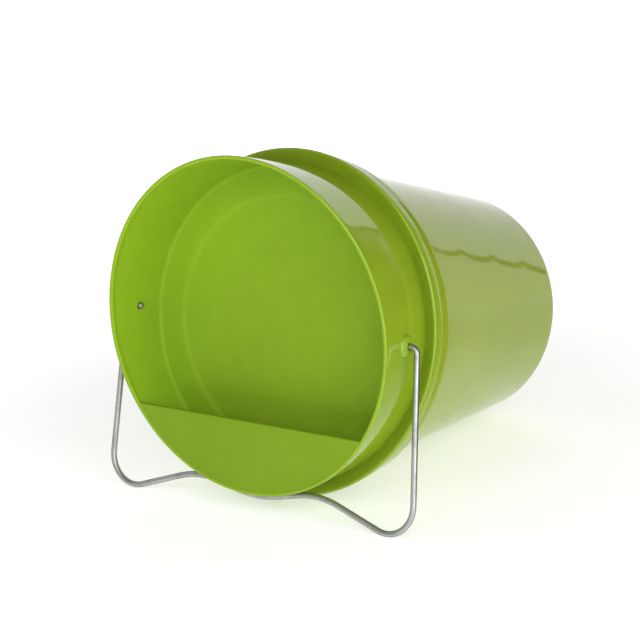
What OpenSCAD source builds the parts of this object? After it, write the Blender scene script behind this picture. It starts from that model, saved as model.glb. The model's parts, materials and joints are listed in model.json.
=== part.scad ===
// Bucket drinker and feeder: a tapered pail lying on its side, closed by a
// trough cap, with a wire bail that is both its front stand and its handle.
// Units are millimetres. It stands as in use: the mouth faces -Y, the bail's
// feet and the pail's base corner rest on z = 0, and X = 0 is its mirror plane.
//
// Each piece is drawn in the bucket's own upright frame, which laid() then lays
// down: Z runs along the bucket's axis from the base (0) to the mouth, and Y
// points to the side that is on top when the bucket lies down.

/* [Pail] */
// Height of the pail from its base to the top of its rim
pail_h = 263.5; // [262:0.5:264]
// Radius that the pail's outer wall would have at the base plane
base_r = 96; // [92:0.5:96.5]
// Growth of the wall's radius per millimetre of height
pail_taper = 0.1475; // [0.144:0.0005:0.1495]
// Wall thickness of the pail
pail_wall = 2.2; // [1.8:0.1:2.6]
// Radius of the rounded base corner
base_corner_r = 14; // [10:1:18]
// Depth of the hollow under the base, inside its foot ring
foot_h = 4; // [2:0.5:6]
// Width of the flat foot ring
foot_w = 9; // [6:1:14]
// Outer radius of the stiffening collar under the rim
collar_r = 140.8; // [140.2:0.2:141]
// Depth of the collar's hanging skirt
collar_h = 16.5; // [12:0.5:24]
// Number of ribs between the collar's skirt and the wall
rib_count = 24; // [8:4:36]
// Thickness of each rib
rib_t = 1.6; // [1.2:0.2:2.4]

/* [Trough cap] */
// Height of the mouth's centre above the pail's base
mouth_z = 338; // [336:1:340]
// Radius of the drum's outer wall at the mouth's centre height
drum_r = 141.6; // [141.2:0.1:142]
// Growth of the drum's radius per millimetre towards the mouth
drum_taper = 0.123; // [0.118:0.001:0.128]
// Lean of the whole drum away from the side on top
drum_lean = 1.8; // [1.6:0.1:2]
// Lean of the mouth's plane, so that the top of the drum reaches further forward
mouth_tilt = 8.7; // [8:0.1:9.2]
// Wall thickness of the drum, disc and flange
cap_wall = 2.2; // [2:0.1:2.6]
// Height of the closing disc's front face at its centre
disc_z = 279.6; // [279:0.2:284]
// Radius of the fillet between the disc and the drum's wall
disc_fillet = 3.5; // [2:0.5:6]
// Radius of the disc's shallow centre panel
panel_r = 106; // [95:1:112]
// Depth of the centre panel's step
panel_step = 1.4; // [0.6:0.2:1.8]
// Outer radius of the flange at its raised crest
crest_r = 145.6; // [145:0.2:146.4]
// Height of the crest above the bottom of the valley inside it
crest_h = 5; // [4:0.2:5.6]
// Depth of the cap's outer skirt below the crest
skirt_h = 14.5; // [13:0.5:15.5]
// Depth of the spigot that centres the cap in the pail's mouth
spigot_h = 15; // [8:1:18]
// Radius of the water outlet in the disc
outlet_r = 8; // [5:0.5:11]
// Distance of the outlet's centre below the bucket's axis
outlet_drop = 106; // [98:1:110]

/* [Dam] */
// Distance of the dam's top edge below the mouth's centre, along the mouth's plane
dam_drop = 80; // [74:1:90]
// Thickness of the dam plate
dam_t = 2.4; // [2:0.2:3]
// Depth of the stiffening bead behind the dam's top edge
dam_bead = 5; // [4:0.5:8]

/* [Seal] */
// Thickness of the seal ring
seal_t = 3; // [2.4:0.1:3.2]
// Radial width of the seal ring
seal_w = 6; // [4:0.5:6.5]

/* [Bail] */
// Diameter of the bail's wire
wire_d = 5; // [4.6:0.1:5.2]
// Distance of the bail's pivots behind the mouth's centre
pivot_setback = 34; // [33:0.5:35]
// Half width of the bail where its legs leave the pivots
leg_x = 147.4; // [147.2:0.1:148.5]
// Half width at the sharp corner that the foot bend rounds off
foot_x = 157; // [156:0.5:158]
// Distance of that corner below the pivots
foot_drop = 164.5; // [164:0.5:166]
// Half distance between the two humps of the crossbar, at their sharp corners
hump_x = 63.2; // [62.6:0.2:64]
// Distance of the humps' corners below the pivots
hump_drop = 131.5; // [131.4:0.1:132.2]
// Distance of the crossbar's middle corner below the pivots
saddle_drop = 152.4; // [152.2:0.1:153.2]
// Centreline radius of the foot bends
foot_bend_r = 24.8; // [22:0.2:26]
// Radius of each pivot hole
pivot_hole_r = 3.1; // [2.9:0.1:3.3]
// Radius of the boss around each pivot hole
boss_r = 9.5; // [8:0.5:11]

/* [Hidden] */
$fn = 120;

plastic = [0.53, 0.67, 0.15];
rubber = [0.12, 0.12, 0.12];
wire = [0.74, 0.75, 0.76];

wire_r = wire_d / 2;
arc_steps = 8;
// How far a face runs into its neighbour, or stops short of it
nearly = 0.05;
// How far a cutting body runs past what it cuts
past = 20;

// Clearance between the cap's skirt and the pail's collar
skirt_gap = 0.5;
// Height of the flange's plate, over the seal
flange_z = pail_h + seal_t;
valley_z = flange_z + cap_wall;
crest_z = valley_z + crest_h;
skirt_in_r = collar_r + skirt_gap;
skirt_t = 1.9;
crest_round = 1.6;
// The spigot stands clear of the pail's wall, with a bevelled lead-in
spigot_gap = 0.8;
lead_in = 2;
lead_in_step = 0.6;
spigot_r = base_r + pail_taper * (pail_h - spigot_h) - pail_wall - spigot_gap;
rim_round = 1;
rib_setback = 1;
// How much further out than the pail's wall the middle of the seal lies
seal_offset = 1.8;

pivot_z = mouth_z - pivot_setback;
// Distance of the bosses' flat faces from the axis
boss_face_x = 141;
boss_root = 3;
// Distance of the wire's ends, inside the drum, from the axis
tip_x = 131;
pivot_bend_r = 6;
hump_bend_r = 45;
saddle_bend_r = 147;
rod_overlap = 0.3;
rod_inset = 0.02;
wire_fn = 48;

// Radius of the drum's outer wall at height z, where the drum's own lean is left out
function drum_at(z) = drum_r + drum_taper * (z - mouth_z);
// Radius of the pail's outer wall at height z
function wall_at(z) = base_r + pail_taper * z;
// Points on an arc about c, from angle a0 to a1
function arc(c, r, a0, a1) =
    [for (i = [0:arc_steps]) let (a = a0 + (a1 - a0) * i / arc_steps) c + r * [cos(a), sin(a)]];

// The base corner's circle touches the base plane and the tapered wall
wall_lean = atan(pail_taper);
corner_z = base_corner_r;
corner_x = wall_at(corner_z) - base_corner_r / cos(wall_lean);

// The foot bend's circle touches the leg and the sloping part of the crossbar
leg_dir = unit([leg_x - foot_x, foot_drop]);
slope_dir = unit([hump_x - foot_x, foot_drop - hump_drop]);
foot_half = acos(leg_dir * slope_dir) / 2;
foot_mid = [foot_x, -foot_drop] + unit(leg_dir + slope_dir) * foot_bend_r / sin(foot_half);
foot_low = foot_mid.y - foot_bend_r;
function unit(v) = v / norm(v);

// Resting on the feet and the base corner, the bucket is pitched mouth up
span_along = pivot_z - corner_z;
span_up = corner_x + foot_low;
foot_to_corner = norm([span_along, span_up]);
pitch = atan2(-span_up, span_along) - asin((base_corner_r - wire_r) / foot_to_corner);
lift = base_corner_r + corner_x * cos(pitch) - corner_z * sin(pitch);
// The drum's lower lip is the foremost point, and the base corner the rearmost.
// lip_run is how far along the leaning drum the mouth's plane cuts its lowest line.
lip_slope = cos(drum_lean) * tan(mouth_tilt) - sin(drum_lean);
lip_run = (mouth_z - valley_z - drum_at(valley_z) * lip_slope)
    / (cos(drum_lean) + sin(drum_lean) * tan(mouth_tilt) + drum_taper * lip_slope);
lip_r = drum_at(valley_z + lip_run);
lip_drop = lip_run * sin(drum_lean) + lip_r * cos(drum_lean);
lip_z = valley_z + lip_run * cos(drum_lean) - lip_r * sin(drum_lean);
front_y = -lip_drop * sin(pitch) - lip_z * cos(pitch);
rear_y = corner_x * sin(pitch) - corner_z * cos(pitch) + base_corner_r;
shift_y = -(front_y + rear_y) / 2;

// Lays an upright bucket down on its feet and base corner
module laid() {
    translate([0, shift_y, lift])
        rotate([90 - pitch, 0, 0])
            children();
}

// Leans the drum, which is drawn upright, about the middle of the flange's valley
module leaning() {
    translate([0, 0, valley_z])
        rotate([drum_lean, 0, 0])
            translate([0, 0, -valley_z])
                children();
}

// Everything in front of the mouth's plane
module beyond_mouth() {
    reach = 400;
    translate([0, 0, mouth_z])
        rotate([mouth_tilt, 0, 0])
            translate([-reach / 2, -reach / 2, 0])
                cube([reach, reach, reach]);
}

module pail_profile() {
    inner_corner_turn = 60;
    rim_in_r = wall_at(pail_h) - pail_wall;
    collar_z = pail_h - collar_h;
    floor_z = foot_h + pail_wall;
    foot_out_r = corner_x;
    foot_in_r = foot_out_r - foot_w;
    polygon(concat(
        [[0, foot_h], [foot_in_r - foot_h, foot_h], [foot_in_r, 0]],
        arc([corner_x, corner_z], base_corner_r, -90, -wall_lean),
        [[wall_at(pail_h - pail_wall), pail_h - pail_wall],
         [collar_r - pail_wall, pail_h - pail_wall],
         [collar_r - pail_wall, collar_z],
         [collar_r, collar_z]],
        arc([collar_r - rim_round, pail_h - rim_round], rim_round, 0, 90),
        [[rim_in_r, pail_h]],
        arc([corner_x, corner_z], base_corner_r - pail_wall, -wall_lean, -inner_corner_turn),
        [[foot_out_r - foot_h, floor_z], [0, floor_z]]
    ));
}

module collar_ribs() {
    rib_top = pail_h - pail_wall / 2;
    rib_bottom = pail_h - collar_h + rib_setback;
    rib_in_r = wall_at(rib_bottom) - pail_wall / 2;
    rib_out_r = collar_r - pail_wall / 2;
    for (i = [0:rib_count - 1])
        rotate([0, 0, (i + 0.5) * 360 / rib_count])
            translate([rib_in_r, -rib_t / 2, rib_bottom])
                cube([rib_out_r - rib_in_r, rib_t, rib_top - rib_bottom]);
}

module pail() {
    color(plastic)
        laid() {
            rotate_extrude()
                pail_profile();
            difference() {
                collar_ribs();
                cylinder(h = pail_h, r1 = base_r - nearly, r2 = wall_at(pail_h) - nearly);
            }
        }
}

module flange_profile() {
    crest_turn = 110;
    skirt_z = crest_z - skirt_h;
    spigot_in_r = spigot_r - cap_wall;
    polygon(concat(
        [[skirt_in_r, skirt_z], [skirt_in_r + skirt_t, skirt_z]],
        arc([crest_r - crest_round, crest_z - crest_round], crest_round, 0, crest_turn),
        [[drum_at(valley_z) - cap_wall / 2, valley_z],
         [spigot_in_r, valley_z],
         [spigot_in_r, pail_h - spigot_h],
         [spigot_r - lead_in_step, pail_h - spigot_h],
         [spigot_r, pail_h - spigot_h + lead_in],
         [spigot_r, flange_z],
         [skirt_in_r, flange_z]]
    ));
}

// The drum with its disc, without its lean; its foot starts below the valley
module drum_profile() {
    foot_z = valley_z - past / 2;
    top_z = mouth_z + drum_r * tan(mouth_tilt) + past;
    fillet_z = disc_z + disc_fillet;
    fillet_r = drum_at(fillet_z) - cap_wall - disc_fillet;
    back_z = disc_z - cap_wall;
    polygon(concat(
        [[drum_at(foot_z), foot_z],
         [drum_at(top_z), top_z],
         [drum_at(top_z) - cap_wall, top_z]],
        arc([fillet_r, fillet_z], disc_fillet, -atan(drum_taper), -90),
        [[panel_r + panel_step, disc_z],
         [panel_r, disc_z - panel_step],
         [0, disc_z - panel_step],
         [0, back_z - panel_step],
         [panel_r + panel_step, back_z - panel_step],
         [panel_r + 2 * panel_step, back_z],
         [drum_at(back_z) - cap_wall, back_z],
         [drum_at(foot_z) - cap_wall, foot_z]]
    ));
}

// The drum stands on the middle of the flange's plate
module drum() {
    foot_z = valley_z - cap_wall / 2;
    difference() {
        leaning()
            rotate_extrude()
                drum_profile();
        translate([0, 0, foot_z - 2 * past])
            cylinder(h = 2 * past, r = drum_r + past);
    }
}

// A boss on the drum's side, for one side of the pivot
module pivot_boss() {
    inner_x = drum_at(pivot_z) - cap_wall / 2;
    translate([inner_x - boss_root, 0, pivot_z])
        rotate([0, 90, 0])
            cylinder(h = boss_face_x - inner_x + boss_root, r = boss_r);
}

module both_sides() {
    children();
    mirror([1, 0, 0])
        children();
}

module trough_cap() {
    color(plastic)
        laid()
            difference() {
                union() {
                    rotate_extrude()
                        flange_profile();
                    drum();
                    difference() {
                        both_sides()
                            pivot_boss();
                        drum_core();
                    }
                }
                beyond_mouth();
                translate([-drum_r - past, 0, pivot_z])
                    rotate([0, 90, 0])
                        cylinder(h = 2 * (drum_r + past), r = pivot_hole_r);
                translate([0, -outlet_drop, disc_z - past / 2])
                    cylinder(h = past, r = outlet_r);
            }
}

// The space inside the drum's wall, from the disc forward
module drum_core(inset = cap_wall / 2) {
    core_h = 90;
    leaning()
        translate([0, 0, disc_z])
            cylinder(h = core_h, r1 = drum_at(disc_z) - inset, r2 = drum_at(disc_z + core_h) - inset);
}

module dam_plate() {
    dam_reach = drum_r + past - dam_drop;
    color(plastic)
        laid()
            intersection() {
                drum_core(cap_wall + nearly);
                translate([0, 0, mouth_z])
                    rotate([mouth_tilt, 0, 0])
                        translate([-drum_r, -dam_reach - dam_drop, 0]) {
                            translate([0, 0, -dam_t])
                                cube([2 * drum_r, dam_reach, dam_t]);
                            translate([0, dam_reach - dam_t, -dam_bead])
                                cube([2 * drum_r, dam_t, dam_bead]);
                        }
            }
}

module seal_ring() {
    seal_mid_r = wall_at(pail_h) + seal_offset;
    color(rubber)
        laid()
            rotate_extrude()
                translate([seal_mid_r - seal_w / 2, pail_h + nearly])
                    square([seal_w, seal_t - 2 * nearly]);
}

// A straight length of wire between two points of the bail's plane, a hair
// thinner than the bends at its ends, into which it runs a little way
module rod(a, b) {
    run = b - a;
    translate([a.x, a.y, 0])
        rotate([0, 0, atan2(run.y, run.x)])
            rotate([0, 90, 0])
                translate([0, 0, -rod_overlap])
                    cylinder(h = norm(run) + 2 * rod_overlap, r = wire_r - rod_inset);
}

// A bend that rounds the corner p between its neighbours a and b
module bend(a, p, b, bend_r) {
    to_a = unit(a - p);
    to_b = unit(b - p);
    half = acos(to_a * to_b) / 2;
    mid = p + unit(to_a + to_b) * bend_r / sin(half);
    start = tangent(p, a, half, bend_r) - mid;
    finish = tangent(p, b, half, bend_r) - mid;
    turn = start.x * finish.y - start.y * finish.x;
    first = turn > 0 ? start : finish;
    translate([mid.x, mid.y, 0])
        rotate([0, 0, atan2(first.y, first.x)])
            rotate_extrude(angle = 180 - 2 * half)
                translate([bend_r, 0])
                    circle(r = wire_r, $fn = wire_fn);
}

// Where a bend at corner p meets the straight towards q
function tangent(p, q, half, bend_r) = p + unit(q - p) * bend_r / tan(half);
function half_angle(a, p, b) = acos(unit(a - p) * unit(b - p)) / 2;

module bail() {
    corners = [
        [-tip_x, 0], [-leg_x, 0], [-foot_x, -foot_drop], [-hump_x, -hump_drop],
        [0, -saddle_drop],
        [hump_x, -hump_drop], [foot_x, -foot_drop], [leg_x, 0], [tip_x, 0]
    ];
    radii = [
        0, pivot_bend_r, foot_bend_r, hump_bend_r,
        saddle_bend_r,
        hump_bend_r, foot_bend_r, pivot_bend_r, 0
    ];
    last = len(corners) - 1;
    // The two ends have no bend, so any half angle serves there
    halves = [
        for (i = [0:last])
            let (inner = max(1, min(last - 1, i)))
                half_angle(corners[inner - 1], corners[inner], corners[inner + 1])
    ];
    color(wire)
        laid()
            translate([0, 0, pivot_z]) {
                for (i = [0:last - 1])
                    rod(tangent(corners[i], corners[i + 1], halves[i], radii[i]),
                        tangent(corners[i + 1], corners[i], halves[i + 1], radii[i + 1]));
                for (i = [1:last - 1])
                    bend(corners[i - 1], corners[i], corners[i + 1], radii[i]);
            }
}

pail();
trough_cap();
dam_plate();
seal_ring();
bail();
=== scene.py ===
import json
import math

import bmesh
import bpy
from mathutils import Matrix, Vector


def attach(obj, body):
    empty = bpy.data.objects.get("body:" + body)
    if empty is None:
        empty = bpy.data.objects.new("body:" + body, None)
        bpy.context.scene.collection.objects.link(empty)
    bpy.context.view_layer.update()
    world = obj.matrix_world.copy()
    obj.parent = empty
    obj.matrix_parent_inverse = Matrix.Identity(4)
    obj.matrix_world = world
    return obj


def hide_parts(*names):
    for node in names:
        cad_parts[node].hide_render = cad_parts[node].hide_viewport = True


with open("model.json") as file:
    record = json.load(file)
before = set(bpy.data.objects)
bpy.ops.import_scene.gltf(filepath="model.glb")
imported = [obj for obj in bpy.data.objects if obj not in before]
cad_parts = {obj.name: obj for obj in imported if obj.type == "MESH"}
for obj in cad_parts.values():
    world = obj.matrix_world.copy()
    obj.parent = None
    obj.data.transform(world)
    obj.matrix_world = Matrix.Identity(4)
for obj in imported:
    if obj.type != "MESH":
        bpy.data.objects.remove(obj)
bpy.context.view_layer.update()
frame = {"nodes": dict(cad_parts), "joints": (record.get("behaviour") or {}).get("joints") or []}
scene = bpy.context.scene

# ---------------------------------------------------------------- the frame
# The bucket is drawn upright in its own frame, in millimetres: z along its
# axis from the pail's base to the mouth, y to the side on top when it lies
# down. The two joints of the record say how that frame lies in the row.
joints = {j["name"]: j for j in frame["joints"]}
AXIS = Vector(joints["cap_lift"]["axis"]).normalized()
PIVOT = Vector(joints["bail_swing"]["pos_m"])
PIVOT_Z = 304.0
UP = Vector((0.0, AXIS.z, -AXIS.y))


def lay(x, y, z):
    """A point of the bucket's own frame, in the row's frame, in metres."""
    return PIVOT + (Vector((x, 0, 0)) + UP * y + AXIS * (z - PIVOT_Z)) * 0.001


LAY = Matrix.Translation(PIVOT) @ Matrix(
    ((1, 0, 0, 0), (0, UP.y, AXIS.y, 0), (0, UP.z, AXIS.z, 0), (0, 0, 0, 1))
) @ Matrix.Diagonal((0.001, 0.001, 0.001, 1)) @ Matrix.Translation((0, 0, -PIVOT_Z))

# ---------------------------------------------------------------- dimensions
BASE_R, TAPER, PAIL_H, WALL = 96.0, 0.1475, 263.5, 2.2
MOUTH_Z, DRUM_R, DRUM_TAPER = 338.0, 141.6, 0.123
VALLEY_Z, DISC_Z = 268.7, 279.6
TILT = math.radians(8.7)
LEAN = (Matrix.Translation((0, 0, VALLEY_Z)) @ Matrix.Rotation(math.radians(1.8), 4, "X")
        @ Matrix.Translation((0, 0, -VALLEY_Z)))
WIRE_R, HOLE_R = 2.5, 3.1
OUTLET_R, OUTLET_DROP = 8.0, 106
RIB_COUNT, RIB_HALF = 24, 0.8
SEGMENTS = 320


def wall_at(z):
    return BASE_R + TAPER * z


def drum_at(z):
    return DRUM_R + DRUM_TAPER * (z - MOUTH_Z)


def arc(cx, cz, r, a0, a1, n=6):
    """Points on an arc from a0 to a1 degrees, as (r, z)."""
    return [
        (cx + r * math.cos(math.radians(a0 + (a1 - a0) * i / n)),
         cz + r * math.sin(math.radians(a0 + (a1 - a0) * i / n)))
        for i in range(n + 1)
    ]


def between(a, b, n):
    """n points inside the straight from a to b."""
    return [(a[0] + (b[0] - a[0]) * i / (n + 1), a[1] + (b[1] - a[1]) * i / (n + 1))
            for i in range(1, n + 1)]


def link(name, data):
    """A new object of the scene."""
    obj = bpy.data.objects.new(name, data)
    scene.collection.objects.link(obj)
    return obj


def new_object(name, mesh, body):
    obj = link(name, mesh)
    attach(obj, body)
    return obj


def to_mesh(bm, name):
    mesh = bpy.data.meshes.new(name)
    bm.to_mesh(mesh)
    bm.free()
    return mesh


def clean(bm):
    """Joins the points that coincide and turns all faces outwards."""
    bmesh.ops.remove_doubles(bm, verts=bm.verts, dist=1e-4)
    bmesh.ops.recalc_face_normals(bm, faces=bm.faces)


def finish_mesh(bm, name, sharp=32.0):
    """Lays the mesh in the row's frame, with smooth faces and sharp edges over that angle."""
    clean(bm)
    limit = math.radians(sharp)
    for f in bm.faces:
        f.smooth = True
    for e in bm.edges:
        e.smooth = not (len(e.link_faces) == 2 and e.calc_face_angle(0) > limit)
    bmesh.ops.transform(bm, matrix=LAY, verts=bm.verts)
    return to_mesh(bm, name)


def scratch_object(bm, name):
    """An object that only the booleans use, still in the bucket's own frame."""
    clean(bm)
    return link(name, to_mesh(bm, name))


def upright(t, outline):
    """The outline, a list of (r, z), at angle t about the axis."""
    return [Vector((r * math.cos(t), r * math.sin(t), z)) for r, z in outline]


def lathe(bm, points):
    """Skins points(angle), a list of 3-D points with the same length at each angle."""
    rings = [[bm.verts.new(p) for p in points(2 * math.pi * k / SEGMENTS)] for k in range(SEGMENTS)]
    for a, b in zip(rings, rings[1:] + rings[:1]):
        for i in range(len(a) - 1):
            bm.faces.new((a[i], b[i], b[i + 1], a[i + 1]))


def loft(bm, rings):
    """Joins rings of points, given as lists of (x, y, z), with quads, and caps the two ends."""
    made = [[bm.verts.new(p) for p in ring] for ring in rings]
    n = len(made[0])
    for a, b in zip(made, made[1:]):
        for i in range(n):
            bm.faces.new((a[i], a[(i + 1) % n], b[(i + 1) % n], b[i]))
    bm.faces.new(list(reversed(made[0])))
    bm.faces.new(made[-1])


def circle(cx, cy, r, n=48):
    """n points on a circle, as (x, y)."""
    return [(cx + r * math.cos(2 * math.pi * i / n), cy + r * math.sin(2 * math.pi * i / n))
            for i in range(n)]


def apply_booleans(obj, steps):
    """Applies (operation, cutter) pairs to obj's mesh and removes the cutters."""
    for op, cutter in steps:
        mod = obj.modifiers.new(op, "BOOLEAN")
        mod.operation = op
        mod.solver = "EXACT"
        mod.object = cutter
    deps = bpy.context.evaluated_depsgraph_get()
    done = bpy.data.meshes.new_from_object(obj.evaluated_get(deps))
    obj.modifiers.clear()
    obj.data = done
    for _, cutter in steps:
        bpy.data.objects.remove(cutter)


# ---------------------------------------------------------------- the pail
def sink(z, t):
    """The faint waviness of a moulded wall, in millimetres: a kink every 60 mm, and slow swells."""
    u = ((z - 62.0) / 60.0 + 0.04 * math.sin(t)) % 1.0
    kink = -0.234 * u + 1.106 * u ** 2 - 0.872 * u ** 3
    ripple = 0.002 * math.sin(z / 4.3 + 1.1 * math.sin(t))
    return kink + ripple + 0.045 * math.sin(3 * t + z / 60.0) + 0.02 * math.sin(7 * t - z / 45.0)


def fade(z, z0, z1, over=8.0):
    """1 between z0 and z1, falling to 0 over that length at both."""
    return max(0.0, min(1.0, (z - z0) / over, (z1 - z) / over))


def pail_profile(t):
    corner_r, corner_z = 14.0, 14.0
    lean = math.degrees(math.atan(TAPER))
    corner_x = wall_at(corner_z) - corner_r / math.cos(math.radians(lean))
    foot_in = corner_x - 9.0
    collar_r, collar_z, collar_in = 140.8, PAIL_H - 16.5, 140.8 - WALL
    under, floor_z = 4.0, 6.2
    # The base's underside, the foot ring and the rounded corner
    p = [(0.0, 3.4), (2.6, 3.4), (3.0, under), (foot_in * 0.5, under), (foot_in - 4.4, under)]
    p += arc(foot_in - 4.0, 3.4, 0.6, 90, 30, 2) + [(foot_in - 0.5, 0.25), (foot_in, 0.0)]
    p += arc(corner_x, corner_z, corner_r, -90, -lean, 14)
    # The outer wall, and the collar's inside, lower edge, outside and rim
    low, top = p[-1], (wall_at(PAIL_H - WALL), PAIL_H - WALL)
    for r, z in between(low, top, 84):
        p.append((r + sink(z, t) * fade(z, low[1], PAIL_H - 20), z))
    p += [(top[0], top[1]), (collar_in - 0.4, PAIL_H - WALL), (collar_in, PAIL_H - WALL - 0.5)]
    p += [(collar_in, collar_z + 0.4), (collar_in + 0.4, collar_z)]
    p += arc(collar_r - 0.5, collar_z + 0.5, 0.5, -90, 0, 3)
    p += [(collar_r, collar_z + 5.5), (collar_r, collar_z + 11.0)]
    p += arc(collar_r - 1.0, PAIL_H - 1.0, 1.0, 0, 90, 4)
    # The inside, from the rim down to the floor's middle
    inner = wall_at(PAIL_H) - WALL
    p += arc(inner + 0.7, PAIL_H - 0.7, 0.7, 90, 180, 3)
    deep = arc(corner_x, corner_z, corner_r - WALL, -lean, -60, 8)
    p += between((inner, PAIL_H - 1.0), deep[0], 24) + deep
    p += [(corner_x - 4.0, floor_z), (foot_in * 0.5, floor_z), (0.0, floor_z)]
    return p


def add_rib(bm, t):
    """A stiffening rib between the wall and the collar, at angle t."""
    outer, rings = 139.4, []
    for z in (PAIL_H - 15.5, PAIL_H - 1.5):
        inner = wall_at(z) - 1.0
        section = ((inner, -RIB_HALF), (outer, -RIB_HALF), (outer, RIB_HALF), (inner, RIB_HALF))
        rings.append([(r * math.cos(t) - s * math.sin(t), r * math.sin(t) + s * math.cos(t), z)
                      for r, s in section])
    loft(bm, rings)


def pail_mesh():
    """The pail. The faces of its inside have material 1, and all others material 0."""
    bm = bmesh.new()
    lathe(bm, lambda t: upright(t, pail_profile(t)))
    for k in range(RIB_COUNT):
        add_rib(bm, math.radians((k + 0.5) * 360 / RIB_COUNT))
    for f in bm.faces:
        q = f.calc_center_median()
        f.material_index = 1 if q.z > 5.5 and math.hypot(q.x, q.y) < wall_at(q.z) - 1.6 else 0
    return finish_mesh(bm, "pail_shell")


pail = new_object("pail_shell", pail_mesh(), "pail")
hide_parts("pail")


# ---------------------------------------------------------------- the trough cap
def cut(t, off, lift, lean):
    """Where the leaning drum's wall, off thinner, meets the plane z = lift + lean * y at angle t.

    The place is given as (r, z).
    """
    tip = LEAN.to_3x3() @ Vector((0, 0, 1))
    side = LEAN.to_3x3() @ Vector((math.cos(t), math.sin(t), 0))
    root = drum_at(VALLEY_Z) - off
    k = side.z - lean * side.y
    run = (lift - VALLEY_Z - root * k) / (tip.z - lean * tip.y + DRUM_TAPER * k)
    return root + DRUM_TAPER * run, VALLEY_Z + run


def disc_outline(panel, step):
    """The disc's front, from its middle outwards, with its sunken panel, and the fillet to the drum."""
    p = [(0.0, DISC_Z - step), (panel * 0.5, DISC_Z - step), (panel - 1.5, DISC_Z - step)]
    for i in range(1, 9):
        u = i / 8.0
        p.append((panel - 1.5 + 6.0 * u, DISC_Z - step * (1 - u * u * (3 - 2 * u))))
    p += [(119.0, DISC_Z + 0.05)]
    fillet = 3.5
    z = DISC_Z + fillet
    return p + arc(drum_at(z) - WALL - fillet, z, fillet, -90, -7, 8)


def drum_outline(t, start):
    """The drum's inner wall from start up to its thickened lip, and its outer wall down to the valley."""
    lip_h, bead, level = 1.1, 3.3, math.tan(TILT)
    thin, inner, outer = (cut(t, off, MOUTH_Z, level) for off in (WALL, bead, 0.0))
    p = between(start, (thin[0] - DRUM_TAPER * 5.0, thin[1] - 5.0), 22)
    p += [(thin[0] - DRUM_TAPER * 5.0, thin[1] - 5.0), (thin[0] - 0.55 - DRUM_TAPER * 3.4, thin[1] - 3.4)]
    p += [(inner[0] - DRUM_TAPER * 2.0, inner[1] - 2.0)]
    for i in range(9):
        ang = math.pi * i / 8
        u, down = (1 - math.cos(ang)) / 2, lip_h * (1 - math.sin(ang))
        p.append((inner[0] + (outer[0] - inner[0]) * u - DRUM_TAPER * down,
                  inner[1] + (outer[1] - inner[1]) * u - down))
    top, low = p[-1], cut(t, 0.0, VALLEY_Z, 0.0)
    for r, z in between(top, low, 44):
        p.append((r + 0.5 * sink(z * 1.3, t + 1.0) * fade(z, low[1], top[1], 6.0), z))
    return p + [low]


def flange_outline(foot):
    """The flange from the drum's foot to its crest, the grooved skirt, and the spigot."""
    crest_r, crest_z, crest_round = 145.6, 273.7, 1.6
    ring = arc(crest_r - crest_round, crest_z - crest_round, crest_round, 110, 0, 8)
    start = (foot + 0.25, VALLEY_Z + 0.02)
    p = [start] + between(start, ring[0], 3) + ring
    p += [(145.55, 271.3), (145.2, 271.0), (144.1, 270.8), (144.1, 270.1), (144.9, 269.9), (144.9, 269.4)]
    p += [(143.4, 259.9)] + arc(142.7, 259.8, 0.6, 0, -90, 3) + arc(141.9, 259.8, 0.6, -90, -180, 3)
    p += [(141.3, 266.1), (140.9, 266.5), (130.2, 266.5), (129.65, 266.0), (129.65, 250.5), (129.05, 248.8)]
    return p + [(128.6, 248.5), (127.8, 248.5), (127.45, 248.9), (127.45, VALLEY_Z)]


def back_outline(t, panel, step):
    """Behind the disc: the drum's wall and the disc's back."""
    back = DISC_Z - WALL
    return [cut(t, WALL, VALLEY_Z, 0.0), (drum_at(back) - WALL, back), (panel + 2.8, back),
            (panel + 1.4, back - step), (0.0, back - step)]


def cap_points(t):
    step, panel = 1.4, 105.0
    front = disc_outline(panel, step)
    points = [LEAN @ q for q in upright(t, front + drum_outline(t, front[-1]))]
    points += upright(t, flange_outline(math.hypot(points[-1].x, points[-1].y)))
    return points + [LEAN @ q for q in upright(t, back_outline(t, panel, step))]


def bosses_mesh():
    """Bosses for the bail's pivots: short cones with a bevelled face, which follow the drum at their root."""
    bm = bmesh.new()
    # Each ring's distance from the middle, its radius, and how much it follows the drum
    section = ((135.9, 9.9, 1.0), (137.9, 9.4, 0.85), (139.3, 8.6, 0.55),
               (140.3, 7.6, 0.25), (140.8, 6.6, 0.05), (141.0, 5.6, 0.0))
    for side in (-1, 1):
        loft(bm, [[(side * (x + follow * DRUM_TAPER * (z - PIVOT_Z) - follow * y * y / 280.0), y, z)
                   for y, z in circle(0, PIVOT_Z, r, 64)] for x, r, follow in section])
    return bm


def holes_mesh():
    """What is cut out of the cap: the two pivot holes and the water outlet."""
    bm = bmesh.new()
    for side in (-1, 1):
        loft(bm, [[(side * x, y, z) for y, z in circle(0, PIVOT_Z, HOLE_R)] for x in (120, 150)])
    loft(bm, [[(x, y, z) for x, y in circle(0, -OUTLET_DROP, OUTLET_R)] for z in (262, 290)])
    return bm


def cap_mesh():
    """The trough cap. The faces inside the drum have material 1, and all others material 0."""
    bm = bmesh.new()
    lathe(bm, cap_points)
    cap = scratch_object(bm, "trough_cap_shell")
    bosses = scratch_object(bosses_mesh(), "bosses")
    holes = scratch_object(holes_mesh(), "holes")
    apply_booleans(cap, [("UNION", bosses), ("DIFFERENCE", holes)])
    bm = bmesh.new()
    bm.from_mesh(cap.data)
    for f in bm.faces:
        q = LEAN.inverted() @ f.calc_center_median()
        inside = math.hypot(q.x, q.y) < drum_at(q.z) - 0.8
        f.material_index = 1 if inside and q.z > DISC_Z - 1.6 else 0
    mesh = finish_mesh(bm, "trough_cap_shell")
    bpy.data.objects.remove(cap)
    return mesh


cap = new_object("trough_cap_shell", cap_mesh(), "cap")
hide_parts("trough_cap")

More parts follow.
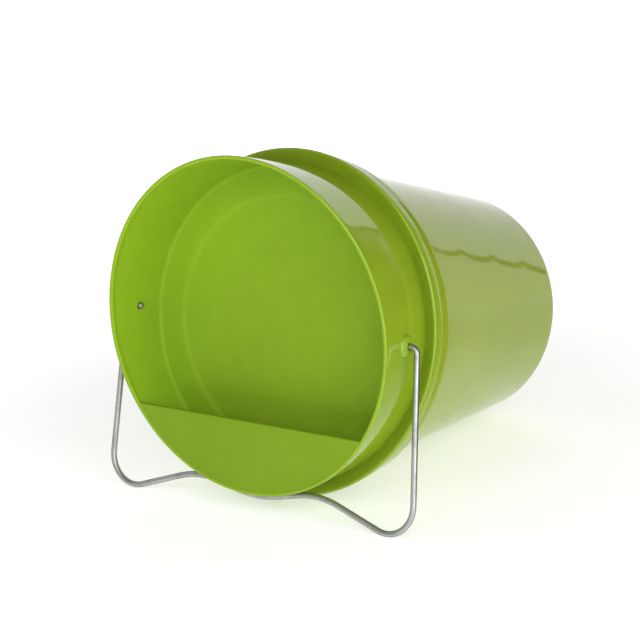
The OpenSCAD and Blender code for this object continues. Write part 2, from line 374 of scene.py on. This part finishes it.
# ---------------------------------------------------------------- the dam
# Its section is drawn in the mouth's plane: q up along the plane, w behind it.
MOUTH = Matrix.Translation((0, 0, MOUTH_Z)) @ Matrix.Rotation(TILT, 4, "X")


def dam_bottom(x, w):
    """Height q of the drum's inner wall at x, w behind the mouth's plane."""
    q = -140.0
    for _ in range(14):
        p = LEAN.inverted() @ MOUTH @ Vector((x, q, -w))
        r = drum_at(p.z) - WALL + 0.25
        q += -math.sqrt(max(r * r - x * x, 1.0)) - p.y
    return q


def dam_section(x):
    """The dam's outline at x, as (q, w): front, rounded top, bead behind the top, and back."""
    top, front, back, bead = -80.0, 0.7, 2.6, 5.0
    front_low = min(dam_bottom(x, front), top - 0.05)
    back_low = min(dam_bottom(x, back), top - 0.05)
    h = top - front_low
    edge, lip = min(0.9, h * 0.3), min(2.4, h * 0.6)
    p = [(front_low + (h - edge) * j / 8, front) for j in range(9)]
    for a in (30, 60, 90):
        up, along = math.sin(math.radians(a)), math.cos(math.radians(a))
        p.append((top - edge + edge * up, front + edge - edge * along))
    p += [(top, bead - edge), (top - edge * 0.3, bead - edge * 0.3), (top - edge, bead)]
    p += [(top - lip + 0.2 * edge, bead), (top - lip, bead - 0.3 * edge)]
    p += [(top - lip, back + 0.3 * edge), (top - lip - 0.3 * edge, back)]
    back_h = max(p[-1][0] - back_low, 0.0)
    return p + [(back_low + back_h * (1 - j / 8), back) for j in range(1, 9)]


def dam_mesh():
    half_width, columns = 114.3, 140
    bm = bmesh.new()
    rings = []
    for i in range(columns + 1):
        x = half_width * math.sin(math.pi / 2 * (2 * i / columns - 1))
        rings.append([tuple(MOUTH @ Vector((x, q, -w))) for q, w in dam_section(x)])
    loft(bm, rings)
    return finish_mesh(bm, "dam_panel")


dam = new_object("dam_panel", dam_mesh(), "cap")
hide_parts("dam_plate")


# ---------------------------------------------------------------- the bail
def rounded(corners, radii, step=math.radians(6)):
    """A smooth path through corners of (x, y), rounded off with radii."""
    out = [Vector(corners[0])]
    for a, p, b, r in zip(corners, corners[1:], corners[2:], radii[1:]):
        a, p, b = Vector(a), Vector(p), Vector(b)
        ta, tb = (a - p).normalized(), (b - p).normalized()
        half = math.acos(max(-1, min(1, ta.dot(tb)))) / 2
        mid = p + (ta + tb).normalized() * r / math.sin(half)
        s, e = p + ta * r / math.tan(half) - mid, p + tb * r / math.tan(half) - mid
        a0 = math.atan2(s.y, s.x)
        turn = (math.atan2(e.y, e.x) - a0 + math.pi) % (2 * math.pi) - math.pi
        n = max(6, int(abs(turn) / step))
        angles = [a0 + turn * i / n for i in range(n + 1)]
        out += [mid + r * Vector((math.cos(angle), math.sin(angle))) for angle in angles]
    return out + [Vector(corners[-1])]


def bail_path():
    """The wire's middle line as (x, y), with points at most about 4 mm apart."""
    half = [(132.5, 0.0), (148.4, 0.0), (156.7, -164.1), (61.3, -131.7)]
    corners = [(-x, y) for x, y in half] + [(0.0, -145.4)] + half[::-1]
    radii = [0, 6.0, 24.8, 74.0, 110.0, 74.0, 24.8, 6.0, 0]
    path = rounded(corners, radii)
    fine = [path[0]]
    for p in path[1:]:
        a, n = fine[-1], max(1, int((p - fine[-1]).length / 4.0))
        fine += [a.lerp(p, i / n) for i in range(1, n + 1)]
    return fine


def bail_rings(line, sides):
    """Rings of points round the line, a list of (point, radius), and the length along the wire at each."""
    rings, lengths = [], []
    for i, (p, r) in enumerate(line):
        t = (line[min(len(line) - 1, i + 1)][0] - line[max(0, i - 1)][0]).normalized()
        nrm = Vector((-t.y, t.x))
        ring = []
        for j in range(sides):
            c, s = math.cos(2 * math.pi * j / sides), math.sin(2 * math.pi * j / sides)
            ring.append((p.x + nrm.x * r * c, p.y + nrm.y * r * c, PIVOT_Z + r * s))
        rings.append(ring)
        lengths.append(lengths[-1] + (p - line[i - 1][0]).length if i else 0.0)
    return rings, lengths


def bail_mesh():
    """The wire, with rounded ends and with a UV map that runs along it, 1 for each 100 mm."""
    fine, sides = bail_path(), 32
    ends = [(0.0, 1.9), (0.35, 2.3), (0.9, WIRE_R)]
    first, last = (fine[1] - fine[0]).normalized(), (fine[-1] - fine[-2]).normalized()
    line = [(fine[0] + first * s, r) for s, r in ends] + [(p, WIRE_R) for p in fine[1:-1]]
    line += [(fine[-1] - last * s, r) for s, r in ends[::-1]]
    rings, lengths = bail_rings(line, sides)
    bm = bmesh.new()
    uv = bm.loops.layers.uv.new("along")
    made = [[bm.verts.new(q) for q in ring] for ring in rings]
    for a, b, here, there in zip(made, made[1:], lengths, lengths[1:]):
        for j in range(sides):
            k = (j + 1) % sides
            f = bm.faces.new((a[j], a[k], b[k], b[j]))
            for loop, (u, v) in zip(f.loops, ((here, j), (here, j + 1), (there, j + 1), (there, j))):
                loop[uv].uv = (u / 100.0, v / sides)
    bm.faces.new(list(reversed(made[0])))
    bm.faces.new(made[-1])
    return finish_mesh(bm, "bail_wire", sharp=40)


bail = new_object("bail_wire", bail_mesh(), "bail")
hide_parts("bail")


# ---------------------------------------------------------------- materials
class Nodes:
    """A short way to write a material's nodes."""

    def __init__(self, name):
        self.mat = bpy.data.materials.new(name)
        self.mat.use_nodes = True
        self.tree = self.mat.node_tree
        self.tree.nodes.clear()
        self.out = self.tree.nodes.new("ShaderNodeOutputMaterial")

    def put(self, value, socket):
        """Links value to the socket if it is a socket too, and sets it otherwise."""
        if isinstance(value, bpy.types.NodeSocket):
            self.tree.links.new(value, socket)
        else:
            socket.default_value = value

    def add(self, kind, **values):
        """A node of that kind. Values go to its sockets, or to its settings if no socket has the name."""
        node = self.tree.nodes.new("ShaderNode" + kind)
        for key, value in values.items():
            socket = node.inputs.get(key.replace("_", " "))
            if socket is None:
                setattr(node, key, value)
            else:
                self.put(value, socket)
        return node

    def show(self, shader):
        """Makes that shader node the material's surface, and returns the material."""
        self.put(shader.outputs[0], self.out.inputs["Surface"])
        return self.mat

    def ramp(self, value, low, high, to_low=0.0, to_high=1.0):
        """value, spread smoothly from low..high to to_low..to_high."""
        node = self.add("MapRange", interpolation_type="SMOOTHSTEP", Value=value)
        for key, v in (("From Min", low), ("From Max", high), ("To Min", to_low), ("To Max", to_high)):
            node.inputs[key].default_value = v
        return node.outputs["Result"]

    def noise(self, where, scale, detail=3.0, rough=0.5):
        node = self.add("TexNoise", Vector=where, Scale=scale, Detail=detail, Roughness=rough)
        return node.outputs["Fac"]

    def stretch(self, where, scale, turn=(0, 0, 0)):
        return self.add("Mapping", Vector=where, Scale=scale, Rotation=turn).outputs["Vector"]

    def math(self, operation, a, b):
        node = self.add("Math", operation=operation)
        self.put(a, node.inputs[0])
        self.put(b, node.inputs[1])
        return node.outputs[0]

    def blend(self, factor, a, b):
        """Colour a where factor is 0, colour b where it is 1."""
        node = self.add("Mix", data_type="RGBA")
        for socket, value in zip((node.inputs[0], node.inputs[6], node.inputs[7]), (factor, a, b)):
            self.put(value, socket)
        return node.outputs[2]

    def place(self):
        return self.add("TexCoord").outputs["Object"]


def grey(value):
    return (value, value, value, 1)


FLOW_TURN = (math.radians(-11.3), 0, 0)
SPECK = (0.16, 0.22, 0.02, 1)


def plastic(name, colour, roughness, grain, shine=0.5):
    """Lime polypropylene: flow marks in its colour, a fine moulded grain, rubbed and scratched gloss."""
    n = Nodes(name)
    at = n.place()
    # Colour: clouds, flow marks along the axis and sparse dark specks
    clouds = n.noise(at, 9.0, 4.0, 0.55)
    flow = n.noise(n.stretch(at, (60, 9, 60), FLOW_TURN), 1.0, 3.0)
    fine = n.noise(at, 900.0, 2.0)
    dark, middle, light = (tuple(c * k for c in colour) + (1,) for k in (0.96, 1.03, 1.10))
    tone = n.blend(n.ramp(clouds, 0.3, 0.7), dark, middle)
    tone = n.blend(n.ramp(flow, 0.35, 0.75, 0.0, 0.35), tone, light)
    tone = n.blend(n.ramp(n.noise(at, 420.0, 1.0), 0.735, 0.79, 0.0, 0.45), tone, SPECK)
    # Gloss and relief: rubbed areas, and hair scratches in two directions
    worn = n.ramp(n.noise(at, 22.0, 5.0, 0.65), 0.45, 0.72, 0.0, 0.05)
    hair = n.noise(n.stretch(at, (30, 700, 700), (0.3, 0.2, 0.9)), 1.0, 1.0)
    hair2 = n.noise(n.stretch(at, (700, 24, 700), (-0.5, 0.4, 0.2)), 1.0, 1.0)
    scratch = n.math("MAXIMUM", n.ramp(hair, 0.70, 0.76), n.ramp(hair2, 0.71, 0.77))
    rough = n.math("ADD", n.math("ADD", worn, roughness), n.math("MULTIPLY", scratch, 0.12))
    height = n.math("SUBTRACT", n.math("MULTIPLY", fine, 0.35), n.math("MULTIPLY", scratch, 0.5))
    bump = n.add("Bump", Strength=grain, Distance=0.00006, Height=height).outputs["Normal"]
    return n.show(n.add(
        "BsdfPrincipled", Base_Color=tone, Roughness=rough, Normal=bump, IOR=1.49, Specular_IOR_Level=shine,
        Subsurface_Weight=0.08, Subsurface_Radius=(1.0, 1.0, 0.25), Subsurface_Scale=0.004))


def wire_metal():
    """Drawn steel: fine lines along the wire, a little grey bloom, and painted shade that darkens its edges
    as it is seen.
    """
    n = Nodes("drawn_wire")
    along = n.add("UVMap", uv_map="along").outputs["UV"]
    at = n.place()
    lines = n.noise(n.stretch(along, (6, 90, 1)), 1.0, 4.0, 0.6)
    bloom = n.noise(at, 70.0, 4.0, 0.6)
    tone = n.blend(n.ramp(bloom, 0.4, 0.7), grey(0.50), grey(0.40))
    tone = n.blend(n.ramp(lines, 0.55, 0.75, 0.0, 0.3), tone, (0.30, 0.29, 0.28, 1))
    # This goes by the direction of view, which is left as an open point
    # Painted shade: the colour turns dark grey towards the edges that face away from the view
    rim = n.ramp(n.add("LayerWeight", Blend=0.5).outputs["Facing"], 0.35, 0.95, 0.0, 0.6)
    tone = n.blend(rim, tone, grey(0.16))
    rough = n.math("ADD", n.ramp(bloom, 0.35, 0.7, 0.36, 0.46), n.ramp(lines, 0.4, 0.7, 0.0, 0.08))
    bump = n.add("Bump", Strength=0.35, Distance=0.00005, Height=lines).outputs["Normal"]
    return n.show(n.add("BsdfPrincipled", Base_Color=tone, Roughness=rough, Normal=bump, Metallic=1.0,
                        Specular_Tint=grey(0.35)))


def rubber():
    """Black seal rubber with a dusty bloom."""
    n = Nodes("seal_rubber")
    at = n.place()
    dust = n.noise(at, 60.0, 5.0, 0.6)
    tone = n.blend(n.ramp(dust, 0.4, 0.75), grey(0.018), (0.045, 0.043, 0.040, 1))
    bump = n.add("Bump", Strength=0.4, Distance=0.0001, Height=n.noise(at, 1500.0, 2.0)).outputs["Normal"]
    rough = n.ramp(dust, 0.3, 0.7, 0.45, 0.65)
    return n.show(n.add("BsdfPrincipled", Base_Color=tone, Roughness=rough, Normal=bump))


# The insides are duller than the outsides. The dam has the inside plastic's colour made darker, to match the
# photograph, which is painted shade.
pail_plastic = plastic("lime_pail", (0.262, 0.345, 0.018), 0.03, 0.2, 0.5)
cap_plastic = plastic("lime_cap", (0.250, 0.370, 0.018), 0.035, 0.2, 0.5)
satin = plastic("lime_inside", (0.252, 0.412, 0.016), 0.50, 0.8, 0.14)
# Painted shade: the dam's colour is the inside colour darkened
dam_painted_shade_plastic = plastic("lime_dam_painted_shade", (0.203, 0.335, 0.012), 0.50, 0.8, 0.14)
for piece, outside in ((pail, pail_plastic), (cap, cap_plastic), (dam, dam_painted_shade_plastic)):
    # Clearing the materials also clears which face has which, so that is put back afterwards
    used = [f.material_index for f in piece.data.polygons]
    piece.data.materials.clear()
    piece.data.materials.append(outside)
    piece.data.materials.append(satin)
    piece.data.polygons.foreach_set("material_index", used)
bail.data.materials.append(wire_metal())
seal = frame["nodes"]["seal_ring"]
seal.data.materials.clear()
seal.data.materials.append(rubber())


# ---------------------------------------------------------------- the studio
def floor_material():
    """White, with a glow that grows outwards, so that only the bucket's own shadow shows."""
    n = Nodes("pale_floor")
    away = n.add("VectorMath", operation="LENGTH", Vector=n.place()).outputs["Value"]
    glow = n.add("Emission", Color=(1, 1, 1, 1), Strength=n.ramp(away, 0.22, 1.0, 0.48, 0.84))
    matt = n.add("BsdfDiffuse", Color=grey(0.88))
    both = n.add("AddShader")
    n.put(glow.outputs[0], both.inputs[0])
    n.put(matt.outputs[0], both.inputs[1])
    return n.show(both)


bm = bmesh.new()
bmesh.ops.create_grid(bm, x_segments=1, y_segments=1, size=9.0)
floor = link("floor", to_mesh(bm, "floor"))
floor.data.materials.append(floor_material())

CARD_Y, FLAG_Y = 1.0, 1.02
SEAM_GAP = 0.014
CARD_HEIGHTS = [0.0, 0.08, 0.16, 0.24, 0.32, 0.40, 0.48, 0.56, 0.7, 0.9, 1.2, 1.6, 2.0]
FLAG_EDGE, FAR = 0.56, 3.5


def sheet(name, corners, faces, hidden_from):
    """A flat object of the studio, which the listed kinds of ray don't see."""
    mesh = bpy.data.meshes.new(name)
    mesh.from_pydata(corners, [], faces)
    obj = link(name, mesh)
    for ray in hidden_from:
        setattr(obj, "visible_" + ray, False)
    return obj


def seam(z):
    """x at height z where the two cards behind the bucket meet: a curve, then a straight line."""
    return 0.2217 + 0.111 * z - 0.547 * z * z if z < 0.52 else 0.132 - 0.458 * (z - 0.519)


def card(name, left, right, heights, strength, fade_x, fade_z=None, bend=0.0, tint=(1, 1, 1, 1)):
    """An upright glowing card behind the bucket. left and right give its edges at each height."""
    corners = [(edge(z), CARD_Y, z) for z in heights for edge in (left, right)]
    faces = [(i, i + 1, i + 3, i + 2) for i in range(0, len(corners) - 2, 2)]
    obj = sheet(name, corners, faces, ("camera", "shadow"))
    n = Nodes(name)
    xyz = n.add("SeparateXYZ", Vector=n.place()).outputs
    across = n.math("ADD", xyz["X"], n.math("MULTIPLY", n.math("MULTIPLY", xyz["Z"], xyz["Z"]), bend))
    value = n.math("MULTIPLY", n.ramp(across, *fade_x), strength)
    if fade_z:
        value = n.math("MULTIPLY", value, n.ramp(xyz["Z"], *fade_z))
    obj.data.materials.append(n.show(n.add("Emission", Color=tint, Strength=value)))


card("card_left", lambda z: -1.6, lambda z: seam(z) - SEAM_GAP, CARD_HEIGHTS, 1.25, (-0.6, 0.2, 1.0, 0.8))
card("card_right", lambda z: seam(z) + SEAM_GAP, lambda z: FLAG_EDGE, CARD_HEIGHTS[:9], 0.92,
     (0.46, 0.53, 1.0, 0.0), (0.28, 0.62, 1.0, 0.2), 1.05, (1.0, 1.0, 0.90, 1))


def flag(name, corners, soft_edges, density=1.0):
    """A black flag that only reflections see.

    Each soft edge is (x, y, start, end): the flag gets opaque where x * X + y * Y goes from start to end.
    """
    obj = sheet(name, corners, [(0, 1, 2, 3)], ("camera", "diffuse", "shadow", "transmission"))
    n = Nodes(name)
    xyz = n.add("SeparateXYZ", Vector=n.place()).outputs
    cover = density
    for kx, ky, start, end in soft_edges:
        across = n.math("ADD", n.math("MULTIPLY", xyz["X"], kx), n.math("MULTIPLY", xyz["Y"], ky))
        cover = n.math("MULTIPLY", n.ramp(across, start, end), cover)
    mix = n.add("MixShader", Fac=cover)
    n.put(n.add("BsdfTransparent").outputs[0], mix.inputs[1])
    n.put(n.add("BsdfDiffuse", Color=grey(0.002)).outputs[0], mix.inputs[2])
    obj.data.materials.append(n.show(mix))


def lying(x, y0, y1, z):
    """Corners of a flag that lies at height z, from x and y0 to FAR and y1."""
    return [(x, y0, z), (FAR, y0, z), (FAR, y1, z), (x, y1, z)]


flag("flag_low", lying(-0.2, -0.3, 3.0, 0.004), ((1.0, -0.35, 0.10, 0.22), (0.0, 1.0, -0.15, 0.0)))
flag("flag_scrim", lying(-0.2, 0.0, 3.0, 0.005), ((0.0, 1.0, 0.10, 0.35),), 0.3)
flag("flag_back",
     [(FLAG_EDGE, FLAG_Y, 0.0), (FAR, FLAG_Y, 0.0), (FAR, FLAG_Y, 2.0), (FLAG_EDGE, FLAG_Y, 2.0)], ())


def softbox(name, place, aim, size, radiance):
    """A rectangular area light that shines with that radiance."""
    light = bpy.data.lights.new(name, "AREA")
    light.shape, light.size, light.size_y = "RECTANGLE", size[0], size[1]
    light.energy = radiance * math.pi * size[0] * size[1]
    obj = link(name, light)
    obj.location = place
    obj.rotation_mode = "QUATERNION"
    obj.rotation_quaternion = (Vector(aim) - Vector(place)).to_track_quat("-Z", "Y")
    obj.visible_camera = False


softbox("right_box", (1.35, -0.80, 0.62), (0, -0.1, 0.12), (1.6, 1.3), 2.85)
softbox("front_box", (0.35, -1.75, 1.0), (0, -0.1, 0.12), (1.3, 0.9), 2.5)
softbox("left_box", (-1.5, -0.5, 0.95), (0, 0, 0.12), (1.2, 1.0), 1.0)

world = bpy.data.worlds.new("studio")
world.use_nodes = True
background = world.node_tree.nodes["Background"]
background.inputs["Color"].default_value = (1, 1, 1, 1)
background.inputs["Strength"].default_value = 0.16
scene.world = world
scene.view_settings.view_transform = "Standard"

# ---------------------------------------------------------------- the camera
# Its place, direction and lens come from a camera fit.
CAMERA_PLACE = (1.40114, -1.96609, 0.82466)
CAMERA_TURN = Matrix((
    (0.81286, -0.12188, 0.56957), (0.58015, 0.25650, -0.77307), (-0.05188, 0.95883, 0.27920)))
cam_data = bpy.data.cameras.new("camera")
cam_data.lens = 163.67
cam_data.sensor_width = 36.0
camera = link("camera", cam_data)
camera.location = CAMERA_PLACE
camera.rotation_mode = "QUATERNION"
camera.rotation_quaternion = CAMERA_TURN.to_quaternion()
scene.camera = camera
